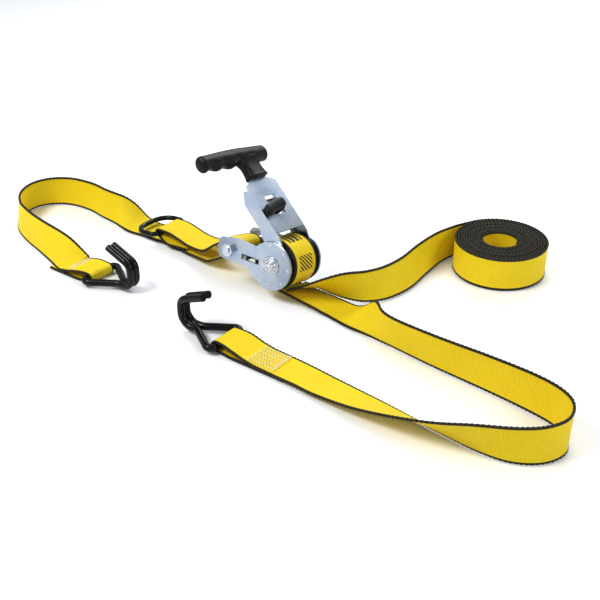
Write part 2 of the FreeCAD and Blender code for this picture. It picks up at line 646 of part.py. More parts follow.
def wire_hook(node, bar, direction):
    """A double J hook: a bar through the webbing's eye, two legs that meet, and two bent wires."""
    radius = WIRE / 2
    x_bar, y_bar, z_bar = bar
    half_bar = (SIZES["webbing_width"] + SIZES["hook_bar_over"]) / 2
    apart = radius + 0.02
    bend = SIZES["hook_bend"]
    x_meet = x_bar + direction * SIZES["hook_reach"]
    x_far = x_meet + direction * (6 + bend)
    top_z = z_bar + 1.88 * bend
    pieces = []
    for side in (-1, 1):
        corner = Vector(x_bar, y_bar + side * half_bar, z_bar)
        meet = Vector(x_meet, y_bar + side * apart, z_bar)
        bottom = Vector(x_far, y_bar + side * apart, z_bar)
        top = Vector(x_far, y_bar + side * apart, top_z)
        tip = Vector(x_meet - direction * 11, y_bar + side * apart, top_z + 13)
        shoulder = corner + Vector(direction * 7, 0, 0)
        path = rounded_path([Vector(x_bar, y_bar, z_bar), corner, shoulder, meet, bottom, top, tip],
                            [0, WIRE * 0.57, WIRE * 0.8, 14, bend * 0.9, bend * 0.75, 0])
        pieces.append(wire_sweep(path, radius))
    piece = doc.addObject("Part::Feature", node + "_shape")
    piece.Shape = pieces[0].fuse(pieces[1]).removeSplitter()
    keep(piece, node)


wire_hook("long_hook", LONG_BAR, -1)
wire_hook("short_hook", SHORT_BAR, 1)

# D-ring: its straight bar lies in the keeper's fold and its bow reaches out over the short strap.
RING_DROP = -3.2
half_inside = (SIZES["webbing_width"] + SIZES["ring_over"] + RING_WIRE) / 2
ring_points = [RING_BAR + Vector(0, -half_inside, 0), RING_BAR + Vector(0, half_inside, 0),
               RING_BAR + Vector(-SIZES["ring_bow"], half_inside, RING_DROP),
               RING_BAR + Vector(-SIZES["ring_bow"], -half_inside, RING_DROP)]
ring_path = rounded_path(ring_points, [RING_WIRE, RING_WIRE, 19, 19], True)
ring = doc.addObject("Part::Feature", "d_ring_shape")
ring.Shape = wire_sweep(ring_path, RING_WIRE / 2)
keep(ring, "d_ring")

# ---------------------------------------------------------------- check and write
doc.recompute()
os.makedirs("parts", exist_ok=True)
for item in doc.Objects:
    if "Invalid" in item.State or "Error" in item.State:
        raise RuntimeError("failed object: %s %s" % (item.Label, item.State))
for item in NODES:
    if item.Shape.isNull() or not item.Shape.isValid() or item.Shape.Volume <= 0:
        raise RuntimeError("bad shape: %s" % item.Label)
for item in NODES:
    item.Shape.exportStep("parts/%s.step" % item.Label)
    bounds = item.Shape.BoundBox
    print("%-22s solids %d volume %9.1f  z %6.1f to %6.1f" % (
        item.Label, len(item.Shape.Solids), item.Shape.Volume, bounds.ZMin, bounds.ZMax))
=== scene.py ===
import json
import math
import bpy
import numpy as np
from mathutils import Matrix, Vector


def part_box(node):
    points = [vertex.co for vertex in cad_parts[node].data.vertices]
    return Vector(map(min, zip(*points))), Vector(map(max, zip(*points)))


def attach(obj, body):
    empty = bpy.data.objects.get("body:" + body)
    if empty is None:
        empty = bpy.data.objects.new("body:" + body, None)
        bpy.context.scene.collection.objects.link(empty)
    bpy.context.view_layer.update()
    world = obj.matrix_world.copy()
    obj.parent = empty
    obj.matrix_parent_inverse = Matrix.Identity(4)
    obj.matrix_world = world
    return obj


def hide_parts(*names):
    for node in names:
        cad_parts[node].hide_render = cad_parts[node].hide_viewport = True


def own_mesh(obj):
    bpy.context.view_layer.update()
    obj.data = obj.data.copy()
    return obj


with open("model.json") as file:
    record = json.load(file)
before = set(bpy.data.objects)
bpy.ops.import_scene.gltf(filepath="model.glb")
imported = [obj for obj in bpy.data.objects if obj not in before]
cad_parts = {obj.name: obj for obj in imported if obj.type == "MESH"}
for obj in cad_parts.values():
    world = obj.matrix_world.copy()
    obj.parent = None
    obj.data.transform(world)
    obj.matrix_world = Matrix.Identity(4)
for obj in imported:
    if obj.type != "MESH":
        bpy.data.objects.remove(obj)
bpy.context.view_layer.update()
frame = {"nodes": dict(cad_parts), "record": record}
record = frame["record"]
joints = {joint["name"]: joint for joint in record["behaviour"]["joints"]}
mm = 0.001


def vec(*values):
    return np.array(values, dtype=float)


def unit(rows):
    rows = np.asarray(rows, dtype=float)
    return rows / np.linalg.norm(rows, axis=-1, keepdims=True)


# The ratchet's own axes: forward along its frame, axle along the spool, and up across both.
axlePoint = vec(*joints["handle_pivot"]["pos_m"])
axleLine = unit(vec(*joints["handle_pivot"]["axis"]))
forward = vec(1, 0, 0)
ratchetUp = unit(np.cross(forward, axleLine))
armLine = -unit(vec(*joints["drive_pawl_slide"]["axis"]))
armOut = unit(np.cross(axleLine, armLine))


def ratchetPoint(x, y, z):
    return axlePoint + forward * x * mm + axleLine * y * mm + ratchetUp * z * mm


def armPoint(x, y, z):
    return axlePoint + armOut * x * mm + axleLine * y * mm + armLine * z * mm


# Camera and light.
cameraSettings = {"place": (0.560, -0.722, 0.515), "pitch": 60.0, "turn": 36.87, "lens": 57.0}
cameraData = bpy.data.cameras.new("camera")
cameraData.lens = cameraSettings["lens"]
cameraData.sensor_width = 36.0
camera = bpy.data.objects.new("camera", cameraData)
camera.location = cameraSettings["place"]
camera.rotation_euler = (math.radians(cameraSettings["pitch"]), 0, math.radians(cameraSettings["turn"]))
bpy.context.scene.collection.objects.link(camera)
bpy.context.scene.camera = camera


def areaLight(name, place, aim, size, power, colour=(1, 1, 1)):
    data = bpy.data.lights.new(name, "AREA")
    data.shape = "RECTANGLE"
    data.size, data.size_y = size
    data.energy = power
    data.color = colour
    lamp = bpy.data.objects.new(name, data)
    lamp.location = place
    lamp.rotation_euler = (Vector(aim) - Vector(place)).to_track_quat("-Z", "Y").to_euler()
    bpy.context.scene.collection.objects.link(lamp)


areaLight("keyLight", (-0.6, -0.9, 1.3), (0, 0, 0), (0.7, 0.5), 17)
areaLight("fillLight", (1.4, 0.1, 0.9), (0, 0, 0), (0.6, 0.6), 6, (0.93, 0.96, 1.0))
areaLight("backLight", (-0.4, 1.3, 1.1), (0, 0, 0), (1.2, 0.5), 14, (0.95, 0.97, 1.0))

world = bpy.data.worlds.new("studio")
bpy.context.scene.world = world
world.use_nodes = True
world.node_tree.nodes["Background"].inputs[0].default_value = (0.93, 0.95, 1.0, 1)
world.node_tree.nodes["Background"].inputs[1].default_value = 0.55
bpy.context.scene.view_settings.view_transform = "Standard"
bpy.context.scene.view_settings.gamma = 0.84
bpy.context.scene.view_settings.exposure = 0.12


# Shader maths: a shader value that can be added, multiplied and compared like a number.
class Field:
    def __init__(self, paint, socket):
        self.paint = paint
        self.socket = socket

    def _maths(self, operation, *others):
        return self.paint.node("ShaderNodeMath", "Value", [self, *others], operation=operation)

    def __add__(self, other):
        return self._maths("ADD", other)

    def __sub__(self, other):
        return self._maths("SUBTRACT", other)

    def __mul__(self, other):
        return self._maths("MULTIPLY", other)

    def __rsub__(self, other):
        return (self * -1.0) + other

    __radd__ = __add__
    __rmul__ = __mul__

    def wave(self):
        return self._maths("SINE")

    def size(self):
        return self._maths("ABSOLUTE")

    def remainder(self, step):
        return self._maths("FLOORED_MODULO", step)

    def over(self, limit):
        return self._maths("GREATER_THAN", limit)

    def lower(self, other):
        return self._maths("MINIMUM", other)

    def upper(self, other):
        return self._maths("MAXIMUM", other)

    def clipped(self):
        return self.upper(0.0).lower(1.0)

    def power(self, exponent):
        return self._maths("POWER", exponent)


# One material: a principled surface and the nodes that feed it.
class Paint:
    def __init__(self, name, **constants):
        self.material = bpy.data.materials.new(name)
        self.material.use_nodes = True
        self.tree = self.material.node_tree
        self.surface = self.tree.nodes["Principled BSDF"]
        for key, value in constants.items():
            self.surface.inputs[key.replace("_", " ")].default_value = value

    def node(self, kind, output, inputs=(), **settings):
        made = self.tree.nodes.new(kind)
        for key, value in settings.items():
            setattr(made, key, value)
        pairs = inputs.items() if isinstance(inputs, dict) else enumerate(inputs)
        for key, value in pairs:
            if isinstance(value, Field):
                self.tree.links.new(value.socket, made.inputs[key])
            else:
                made.inputs[key].default_value = value
        return Field(self, made.outputs[output])

    def place(self):
        return self.node("ShaderNodeTexCoord", "Object")

    # Across and along the webbing, in millimetres, from the piece's own map.
    def cloth(self):
        both = self.node("ShaderNodeUVMap", "UV", uv_map="cloth")
        across = self.node("ShaderNodeSeparateXYZ", "X", [both])
        along = self.node("ShaderNodeSeparateXYZ", "Y", [both])
        return across * 1000.0, along * 1000.0

    def noise(self, vector, scale, detail=3.0, roughness=0.5):
        return self.node("ShaderNodeTexNoise", "Fac",
                         {"Vector": vector, "Scale": scale, "Detail": detail, "Roughness": roughness})

    def stretched(self, vector, scale):
        return self.node("ShaderNodeMapping", "Vector", {"Vector": vector, "Scale": scale})

    def mix(self, amount, first, second):
        return self.node("ShaderNodeMix", 2, {0: amount, 6: first, 7: second}, data_type="RGBA")

    def feed(self, socket, field):
        self.tree.links.new(field.socket, self.surface.inputs[socket])

    def bump(self, height, distance, strength=1.0):
        self.feed("Normal", self.node("ShaderNodeBump", "Normal",
                                      {"Strength": strength, "Distance": distance, "Height": height}))


webbingLook = {
    "yellow": (0.80, 0.61, 0.010, 1), "deep": (0.60, 0.42, 0.004, 1), "pale": (0.90, 0.74, 0.045, 1),
    "edge": (0.008, 0.008, 0.007, 1), "edgePaintedHighlight": (0.20, 0.18, 0.12, 1), "ribStep": 2.3, "yarnStep": 0.8,
    "strandStep": 2.2, "strandLean": 1.1, "edgeFrom": 16.35, "bumpDepth": 0.0005,
}
# Blocks along the webbing, in millimetres: every other one is straight bars, and the rest slanted stripes.
printLook = {"step": 34.0, "half": 8.5, "sideHalf": 11.0, "barStep": 7.0, "barGap": 2.4, "stripeStep": 4.6,
             "stripeGap": 2.3, "stripeLean": 0.9, "cover": 0.95, "ink": (0.016, 0.015, 0.014, 1)}


# Ribs: a sine wave along the webbing. Edge: black past a set distance, with slanted strands whose crests
# carry a painted highlight.
def webbingPaint(name, marks=False):
    look = webbingLook
    paint = Paint(name, Roughness=0.55, Specular_IOR_Level=0.22)
    across, along = paint.cloth()
    full = 2 * math.pi
    ribs = (along * (full / look["ribStep"])).wave() * 0.5 + 0.5
    yarns = (across * (full / look["yarnStep"])).wave() * 0.5 + 0.5
    spots = paint.noise(paint.place(), 900.0, 2.0)
    broad = paint.noise(paint.place(), 34.0, 3.0)
    side = across.size()
    onEdge = ((side - look["edgeFrom"]) * 3.0).clipped()
    strands = ((along + side * look["strandLean"]) * (full / look["strandStep"])).wave() * 0.5 + 0.5
    tone = (ribs * 0.35 + yarns * 0.12 + spots * 0.30 + broad * 0.55 - 0.15).clipped()
    body = paint.mix(tone, look["deep"], look["pale"])
    body = paint.mix(0.5, body, look["yellow"])
    # The edge cord's colour: black, with a painted highlight along the strand crests.
    cord = paint.mix((strands.power(5.0) * (spots * 0.7 + 0.4)).clipped(), look["edge"], look["edgePaintedHighlight"])
    if marks:
        block = printLook
        inBlock = 1.0 - (along.remainder(block["step"]) - block["step"] / 2).size().over(block["half"])
        inWidth = 1.0 - side.over(block["sideHalf"])
        bars = (across + 1.0).remainder(block["barStep"]).over(block["barGap"])
        slanted = along + across * block["stripeLean"]
        stripes = slanted.remainder(block["stripeStep"]).over(block["stripeGap"])
        striped = along.remainder(2 * block["step"]).over(block["step"])
        shown = (inBlock * inWidth * (bars * (1.0 - striped) + stripes * striped)).clipped()
        body = paint.mix(shown * block["cover"], body, block["ink"])
    paint.feed("Base Color", paint.mix(onEdge, body, cord))
    paint.feed("Roughness", (ribs * -0.14 + spots * 0.2 + 0.50).clipped())
    height = (ribs * (1.0 - onEdge) * 0.5 + yarns * (1.0 - onEdge) * 0.12 + strands * onEdge * 1.4
              + spots * 0.15)
    paint.bump(height, look["bumpDepth"])
    return paint.material


# Bright zinc plate: cloudy blue-white and yellowish patches, fine scratches and small pits.
def zincPaint(name, base, warm, roughness=0.27):
    paint = Paint(name, Metallic=1.0, Anisotropic=0.3)
    place = paint.place()
    cloud = paint.noise(place, 46.0, 4.0, 0.6)
    grain = paint.noise(paint.stretched(place, (1.0, 1.0, 14.0)), 240.0, 3.0)
    scratch = paint.noise(paint.stretched(place, (60.0, 3.0, 6.0)), 60.0, 2.0)
    pits = paint.noise(place, 1500.0, 2.0)
    paint.feed("Base Color", paint.mix((cloud * 2.2 - 0.7).clipped(), base, warm))
    wear = (scratch - 0.62).clipped() * 2.0
    paint.feed("Roughness", (grain * 0.20 + cloud * 0.14 + roughness - 0.15 + wear).clipped())
    paint.bump(grain * 0.4 + pits * 0.5 + scratch * 0.3, 0.00006, 0.6)
    return paint.material


# Moulded black: fine grain everywhere and slightly paler rubbed patches.
def plasticPaint(name, base, pale, roughness, grainScale, depth):
    paint = Paint(name, Specular_IOR_Level=0.32)
    place = paint.place()
    grain = paint.noise(place, grainScale, 3.0)
    patches = paint.noise(place, 55.0, 4.0)
    paint.feed("Base Color", paint.mix((patches * 1.8 - 0.6).clipped(), base, pale))
    paint.feed("Roughness", (grain * 0.25 + patches * 0.15 + roughness - 0.2).clipped())
    paint.bump(grain, depth, 0.5)
    return paint.material


webbing = webbingPaint("webbing")
printedWebbing = webbingPaint("webbingPrinted", True)
zinc = zincPaint("zinc", (0.40, 0.48, 0.60, 1), (0.58, 0.62, 0.64, 1), 0.3)
# A darker copy of the zinc: painted shade for the inner parts that sit between the plates.
zincShaded = zincPaint("zincInnerShaded", (0.22, 0.26, 0.30, 1), (0.36, 0.36, 0.33, 1), 0.34)
zincBright = zincPaint("zincCap", (0.56, 0.61, 0.69, 1), (0.74, 0.75, 0.74, 1), 0.2)
grip = plasticPaint("gripPlastic", (0.004, 0.004, 0.005, 1), (0.012, 0.012, 0.013, 1), 0.46, 2600.0, 0.00006)
coating = plasticPaint("hookCoating", (0.003, 0.003, 0.004, 1), (0.008, 0.008, 0.010, 1), 0.26, 420.0,
                       0.00012)
threadPaint = Paint("thread", Roughness=0.6)
threadPaint.feed("Base Color", threadPaint.mix(threadPaint.noise(threadPaint.place(), 700.0),
                                               (0.88, 0.80, 0.62, 1), (0.98, 0.95, 0.86, 1)))
thread = threadPaint.material
print("stage: materials")


# Mesh building.
def newPiece(name, points, faces, material, uv=None, smooth=True):
    mesh = bpy.data.meshes.new(name)
    mesh.from_pydata(np.asarray(points).tolist(), [], [list(map(int, face)) for face in faces])
    if uv is not None:
        layer = mesh.uv_layers.new(name="cloth")
        layer.data.foreach_set("uv", np.asarray(uv, dtype=np.float32).ravel())
    mesh.polygons.foreach_set("use_smooth", [smooth] * len(mesh.polygons))
    mesh.materials.append(material)
    mesh.update()
    piece = bpy.data.objects.new(name, mesh)
    bpy.context.scene.collection.objects.link(piece)
    return piece


# Quads over a grid whose columns close on themselves.
def gridFaces(rows, columns):
    i, j = np.meshgrid(np.arange(rows - 1), np.arange(columns), indexing="ij")
    i, j = i.ravel(), j.ravel()
    after = (j + 1) % columns
    here, below = i * columns, (i + 1) * columns
    return np.stack([here + j, below + j, below + after, here + after], 1)


# The two end faces of such a grid.
def endFaces(rows, columns):
    last = (rows - 1) * columns
    return [list(range(columns)), list(range(last, last + columns))[::-1]]


# A closed skin's faces: the grid's and both ends'.
def closedFaces(rows, columns):
    return gridFaces(rows, columns).tolist() + endFaces(rows, columns)


# Across and through, in millimetres: two flat faces with a round cord along each edge.
webbingShape = {"half": 19.0, "thick": 1.7, "cord": 1.35, "cordGap": 1.1, "cordReach": 0.6, "bead": 0.34,
                "beadStep": 4.4, "beadLean": 1.4, "beadSwell": 0.16, "step": 1.15}


def webbingProfile():
    shape = webbingShape
    flat = shape["half"] - shape["cord"] - shape["cordGap"]
    angles = np.radians(np.linspace(68, -68, 6))
    cord = [(shape["half"] + shape["cord"] * (math.cos(a) - 1), shape["cord"] * math.sin(a)) for a in angles]
    rows = [(a, shape["thick"] / 2) for a in np.linspace(-flat, flat, 8)] + cord
    rows += [(a, -shape["thick"] / 2) for a in np.linspace(flat, -flat, 8)]
    rows += [(-across, -through) for across, through in cord]
    return np.array(rows)


# Webbing swept along its centres: each point is centre + across * width + through * face.
# Each edge cord swells and shrinks as a sine of the distance along it.
def strip(name, centres, widths, material, half=webbingShape["half"]):
    shape = webbingShape
    centres = np.asarray(centres, dtype=float)
    halves = np.broadcast_to(np.asarray(half, dtype=float), (len(centres),))
    steps = np.linalg.norm(np.diff(centres, axis=0), axis=1)
    distance = np.concatenate([[0], np.cumsum(steps)])
    along = np.linspace(0, distance[-1], int(distance[-1] / (shape["step"] * mm)))
    rows = np.column_stack([centres, widths, halves])
    rows = np.stack([np.interp(along, distance, rows[:, k]) for k in range(7)], 1)
    centres, widths, share = rows[:, :3], unit(rows[:, 3:6]), rows[:, 6] / shape["half"]
    runs = unit(np.gradient(centres, axis=0))
    faces = unit(np.cross(runs, widths))
    profile = webbingProfile()
    onCord = np.abs(profile[:, 0]) > shape["half"] - shape["cord"] - shape["cordReach"]
    side = np.sign(profile[:, 0]) * onCord
    turn = 2 * math.pi * along[:, None] / (shape["beadStep"] * mm)
    bead = np.sin(turn + profile[None, :, 1] * shape["beadLean"]) * shape["bead"]
    across = profile[None, :, 0] * share[:, None] + side[None, :] * bead
    through = profile[None, :, 1] * (1 + np.abs(side)[None, :] * shape["beadSwell"] * np.sin(turn))
    points = (centres[:, None, :] + widths[:, None, :] * across[..., None] * mm
              + faces[:, None, :] * through[..., None] * mm)
    count, columns = points.shape[:2]
    quads = gridFaces(count, columns)
    flatAcross = np.broadcast_to(profile[:, 0] * mm, (count, columns)).ravel()
    lengthwise = np.repeat(along, columns)
    uv = np.stack([flatAcross[quads], lengthwise[quads]], -1).reshape(-1, 2)
    ends = endFaces(count, columns)
    endUv = np.concatenate([np.stack([flatAcross[end], lengthwise[end]], -1) for end in ends])
    uv = np.concatenate([uv, endUv])
    piece = newPiece(name, points.reshape(-1, 3), quads.tolist() + ends, material, uv)
    return piece, float(along[-1])


# Rows whose first three values are a place, sampled again at even steps along the line they make.
def evenRows(rows, step):
    distance = np.concatenate([[0], np.cumsum(np.linalg.norm(np.diff(rows[:, :3], axis=0), axis=1))])
    even = np.linspace(0, distance[-1], max(int(distance[-1] / step), 4))
    return np.stack([np.interp(even, distance, rows[:, k]) for k in range(rows.shape[1])], 1)


# A curve through given rows (Catmull-Rom), sampled at even steps along its length.
def smoothRows(rows, step, dense=24):
    rows = np.asarray(rows, dtype=float)
    padded = np.vstack([2 * rows[0] - rows[1], rows, 2 * rows[-1] - rows[-2]])
    curve = []
    for number in range(len(rows) - 1):
        a, b, c, d = padded[number:number + 4]
        t = np.linspace(0, 1, dense, endpoint=False)[:, None]
        curve.append(0.5 * (2 * b + (c - a) * t + (2 * a - 5 * b + 4 * c - d) * t ** 2
                            + (3 * b - a - 3 * c + d) * t ** 3))
    return evenRows(np.vstack(curve + [rows[-1:]]), step)


# Half the thickness of webbing lying flat, and its clearance from the floor.
layHeights = {"flat": 0.9, "above": 0.25}


# Stations of x, y, twist and lift become centres and width directions.
def layRoute(route, step=2.5):
    rows = np.array([(x, y, 0, twist, lift) for x, y, twist, lift in route], dtype=float)
    rows = smoothRows(rows, step)
    run = unit(np.gradient(rows[:, :2], axis=0))
    twist = np.radians(rows[:, 3])
    left = np.stack([-run[:, 1], run[:, 0], np.zeros(len(run))], 1)
    widths = left * np.cos(twist)[:, None] + vec(0, 0, 1) * np.sin(twist)[:, None]
    stands = webbingShape["half"] * np.abs(np.sin(twist)) + layHeights["flat"] * np.abs(np.cos(twist))
    height = stands + np.maximum(rows[:, 4], 0) + layHeights["above"]
    centres = np.column_stack([rows[:, 0], rows[:, 1], height]) * mm
    return centres, widths


# A round tube through points: a ring across each point's own direction.
def tube(points, radius, sides=8):
    points = np.asarray(points, dtype=float)
    runs = unit(np.gradient(points, axis=0))
    aside = np.cross(runs, vec(0, 0, 1))
    small = np.linalg.norm(aside, axis=1) < 1e-6
    aside[small] = vec(1, 0, 0)
    aside = unit(aside)
    upward = unit(np.cross(aside, runs))
    angles = np.linspace(0, 2 * math.pi, sides, endpoint=False)
    cosines, sines = np.cos(angles)[None, :, None], np.sin(angles)[None, :, None]
    ring = aside[:, None, :] * cosines + upward[:, None, :] * sines
    mesh = points[:, None, :] + ring * radius
    return mesh.reshape(-1, 3), closedFaces(len(points), sides)


# Several (points, faces) parts as one.
def joinParts(parts):
    points, faces, start = [], [], 0
    for partPoints, partFaces in parts:
        points.append(partPoints)
        faces += [[int(index) + start for index in face] for face in partFaces]
        start += len(partPoints)
    return np.vstack(points), faces


# Long strap.
longRoute = [
    (0, 0, -10, 1.6), (30, 0, -6, 0.8), (60, -1, -2, 0), (84, -4, 4, 0), (106, -12, 36, 0),
    (126, -21, 72, 0), (150, -30, 96, 0), (203, -36, 94, 0), (264, -39, 86, 0), (310, -43, 80, 0),
    (338, -50, 82, 0), (354, -63, 86, 0), (360, -84, 92, 0), (350, -106, 94, 0), (328, -122, 88, 0),
    (300, -130, 72, 0), (268, -134, 50, 0), (232, -134, 32, 0), (188, -131, 14, 0),
    (145, -128, 4, 0.6), (120, -126, 2, 1.2), (95, -125, 0, 2.0), (60, -124, 0, 2.4),
]
tailRoute = [
    (13, 1, -10, 4.4), (30, 2, -26, 4.3), (50, 7, -52, 3.6), (68, 16, -76, 2.4), (84, 30, -92, 0.5),
    (96, 52, -104, 0), (101, 84, -110, 0), (99, 124, -108, 0), (100, 160, -100, 0), (107, 190, -94, 0),
]
shortRoute = [
    (-104, 6, 180, 6.0), (-140, 13, 180, 2.0), (-180, 19, 180, 0.2), (-212, 20, 180, 0),
    (-240, 17, 174, 0), (-258, 14, 142, 0), (-276, 12, 112, 0), (-300, 13, 104, 0), (-330, 17, 100, 0),
    (-362, 13, 94, 0), (-384, -2, 88, 0), (-392, -26, 84, 0), (-382, -53, 82, 0), (-358, -75, 80, 0),
    (-326, -88, 76, 0), (-288, -97, 70, 0), (-256, -102, 52, 0), (-236, -104, 28, 0),
    (-222, -104, 10, 0.6),
]


# The eye goes round the bar at reach and comes back at under. It narrows by narrowBy near the bar.
eyeShape = {"reach": 5.2, "under": 1.15, "over": [(44, 4.0), (34, 5.6), (24, 8.6), (14, 10.9)],
            "narrowBy": 1.9, "narrowOver": 22.0, "besideBar": 0.03, "step": 1.6}


# From the webbing's upper layer over the hook's bar, round it and back underneath.
def eyeLine(bar, away, foldLength):
    barX, barY, barZ = (value / mm for value in bar)
    reach = eyeShape["reach"]
    rise = eyeShape["over"] + [(6, barZ + reach)]
    points = [(barX - away * x, barY, z) for x, z in rise]
    for angle in np.radians(np.linspace(90, -90, 17)):
        points.append((barX + away * reach * math.cos(angle), barY, barZ + reach * math.sin(angle)))
    points += [(barX - away * x, barY, eyeShape["under"]) for x in np.linspace(6, foldLength, 12)]
    return np.array(points) * mm


# A laid route carried on through its sewn eye.
def hookStrap(name, centres, widths, bar, away, foldLength, replaced):
    eye = eyeLine(bar, away, foldLength)
    line = np.vstack([centres, eye])
    across = np.vstack([widths, np.tile(widths[-1] * vec(0, 1, 0), (len(eye), 1))])
    rows = evenRows(np.hstack([line, across]), eyeShape["step"] * mm)
    fromBar = np.abs(rows[:, 0] - bar[0]) / mm
    beside = np.abs(rows[:, 1] - bar[1]) < eyeShape["besideBar"]
    nearEye = np.clip(1 - fromBar / eyeShape["narrowOver"], 0, 1) * beside
    half = webbingShape["half"] - eyeShape["narrowBy"] * nearEye * nearEye * (3 - 2 * nearEye)
    piece, length = strip(name, rows[:, :3], rows[:, 3:], webbing, half)
    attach(piece, "base")
    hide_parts(*replaced)
    return piece, length


stitchShape = {"rows": np.linspace(-13.0, 13.0, 6), "step": 1.7, "height": 1.9, "thread": 0.34, "above": 0.16,
               "rise": 0.18, "endHalf": 15.0, "endStep": 1.15, "endHeight": 1.2, "endAbove": 0.22}


# Rows of zigzag thread: y = row + height * triangle wave of x.
def stitchBlock(name, bar, away, first, last, topZ, y):
    shape = stitchShape
    parts = []
    for row in shape["rows"]:
        xs = np.arange(first, last, shape["step"])
        sideways = np.where(np.arange(len(xs)) % 2 == 0, -shape["height"], shape["height"])
        heights = topZ + shape["above"] + shape["rise"] * np.abs(np.sin(xs * 2.7))
        line = np.stack([bar[0] / mm - away * xs, y + row + sideways, heights], 1) * mm
        parts.append(tube(line, shape["thread"] * mm, 5))
    for edge in (first, last):
        ys = np.arange(-shape["endHalf"], shape["endHalf"] + 0.1, shape["endStep"])
        sideways = np.where(np.arange(len(ys)) % 2 == 0, -shape["endHeight"], shape["endHeight"])
        heights = np.full(len(ys), topZ + shape["endAbove"])
        line = np.stack([bar[0] / mm - away * (edge + sideways), y + ys, heights], 1) * mm
        parts.append(tube(line, shape["thread"] * mm, 5))
    points, faces = joinParts(parts)
    piece = newPiece(name, points, faces, thread)
    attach(piece, "base")
    return piece


longBar = joints["long_hook_swing"]["pos_m"]
shortBar = joints["short_hook_swing"]["pos_m"]
centres, widths = layRoute(longRoute)
# The upper layer stops 46 mm short of the bar, where the eye carries it on.
keepRows = centres[:, 0] > (longBar[0] + 0.046)
keepRows |= np.arange(len(centres)) < len(centres) // 2
longStrap, longLength = hookStrap("long_strap_web", centres[keepRows], widths[keepRows], longBar, -1, 84,
                                  ("long_strap_back_run", "long_strap_turn", "long_strap_hook_end"))
longStitch = stitchBlock("long_stitching", longBar, -1, 36, 70, 5.4, longBar[1] / mm)

centres, widths = layRoute(shortRoute)
shortStrap, shortLength = hookStrap("short_strap_web", centres, widths, shortBar, 1, 62,
                                    ("short_strap_base", "short_strap_loop", "short_strap_hook_end"))
shortStitch = stitchBlock("short_stitching", shortBar, 1, 26, 33, 8.0, shortBar[1] / mm)
print("stage: straps", round(longLength, 3), round(shortLength, 3))

# Tail and roll.
rollLow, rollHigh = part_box("strap_roll")
roll = {
    "centre": ((rollLow[0] + rollHigh[0]) / 2 / mm, (rollLow[1] + rollHigh[1]) / 2 / mm),
    "outer": (rollHigh[0] - rollLow[0]) / 2 / mm + 0.6, "hole": 20.5, "turns": 11.4, "joinAngle": 152.0,
    "packing": 0.97, "inset": 1.3, "insetFade": 1.1, "wander": 0.28, "height": 19.35, "step": 2.2,
}


# A clockwise spiral: radius falls evenly with angle, with a small wander so that no two turns match.
def rollLine():
    turn = np.linspace(0, roll["turns"], int(roll["turns"] * 110))
    share = turn / roll["turns"]
    opened = roll["inset"] * np.exp(-turn * roll["insetFade"])
    depth = (roll["outer"] - roll["hole"]) * share ** roll["packing"]
    radius = roll["outer"] - depth - roll["inset"] + opened
    radius = radius + roll["wander"] * np.sin(turn * 2 * math.pi * 1.02 + 0.7) * np.sin(share * math.pi)
    angle = np.radians(roll["joinAngle"]) - turn * 2 * math.pi
    height = roll["height"] + 0.35 * np.sin(turn * 2.1) + 0.2 * np.sin(turn * 7.3)
    return np.stack([roll["centre"][0] + radius * np.cos(angle), roll["centre"][1] + radius * np.sin(angle),
                     height], 1) * mm


centres, widths = layRoute(tailRoute)
spiral = rollLine()
line = np.vstack([centres, spiral])
across = np.vstack([widths, np.tile(vec(0, 0, -1), (len(spiral), 1))])
rows = evenRows(np.hstack([line, across]), roll["step"] * mm)
tail, tailLength = strip("long_strap_tail_web", rows[:, :3], rows[:, 3:], webbing)
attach(tail, "base")
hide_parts("long_strap_tail", "strap_roll")
print("stage: roll", round(tailLength, 3))

# Spool wrap: a spiral about the axle: radius grows evenly with angle and ends just inside the outer size.
wrap = {"inner": 9.4, "outer": 29.0, "turns": 9.0, "endAngle": -90.0, "inset": 1.0, "wander": 0.25}
turn = np.linspace(0, wrap["turns"], int(wrap["turns"] * 72))
radius = wrap["inner"] + (wrap["outer"] - wrap["inset"] - wrap["inner"]) * turn / wrap["turns"]
angle = np.radians(wrap["endAngle"]) + (turn - wrap["turns"]) * 2 * math.pi
wander = wrap["wander"] * np.sin(turn * 5.1)
line = np.array([ratchetPoint(r * math.cos(a), w, r * math.sin(a)) for r, a, w in zip(radius, angle, wander)])
across = np.tile(axleLine, (len(line), 1))
wound, woundLength = strip("spool_wrap_web", line, across, printedWebbing)
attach(wound, "spool")
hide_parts("spool_wrap")

# Short strap at the bolt and ring.
ringBar = vec(*joints["d_ring_swing"]["pos_m"]) / mm
boltLow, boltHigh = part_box("bolt_sleeve")
boltMiddle = (vec(*boltLow) + vec(*boltHigh)) / 2 / mm
# Millimetres: the webbing's middle from the bolt's and the ring bar's, and listed places between the two.
keeperShape = {"boltOut": 6.65, "ringOut": 4.2, "step": 1.6, "under": ((-148, 6.1), (-162, 6.3), (-176, 6.6)),
               "over": ((-178, 19, 17.1), (-160, 16, 15.6), (-140, 13, 13.6), (-114, 8, 18.1))}


# Round the sleeve, from straight above it at 90 degrees to straight below it at -90.
def boltPoint(angle):
    turned = math.radians(angle)
    return boltMiddle + (forward * math.cos(turned) + ratchetUp * math.sin(turned)) * keeperShape["boltOut"]


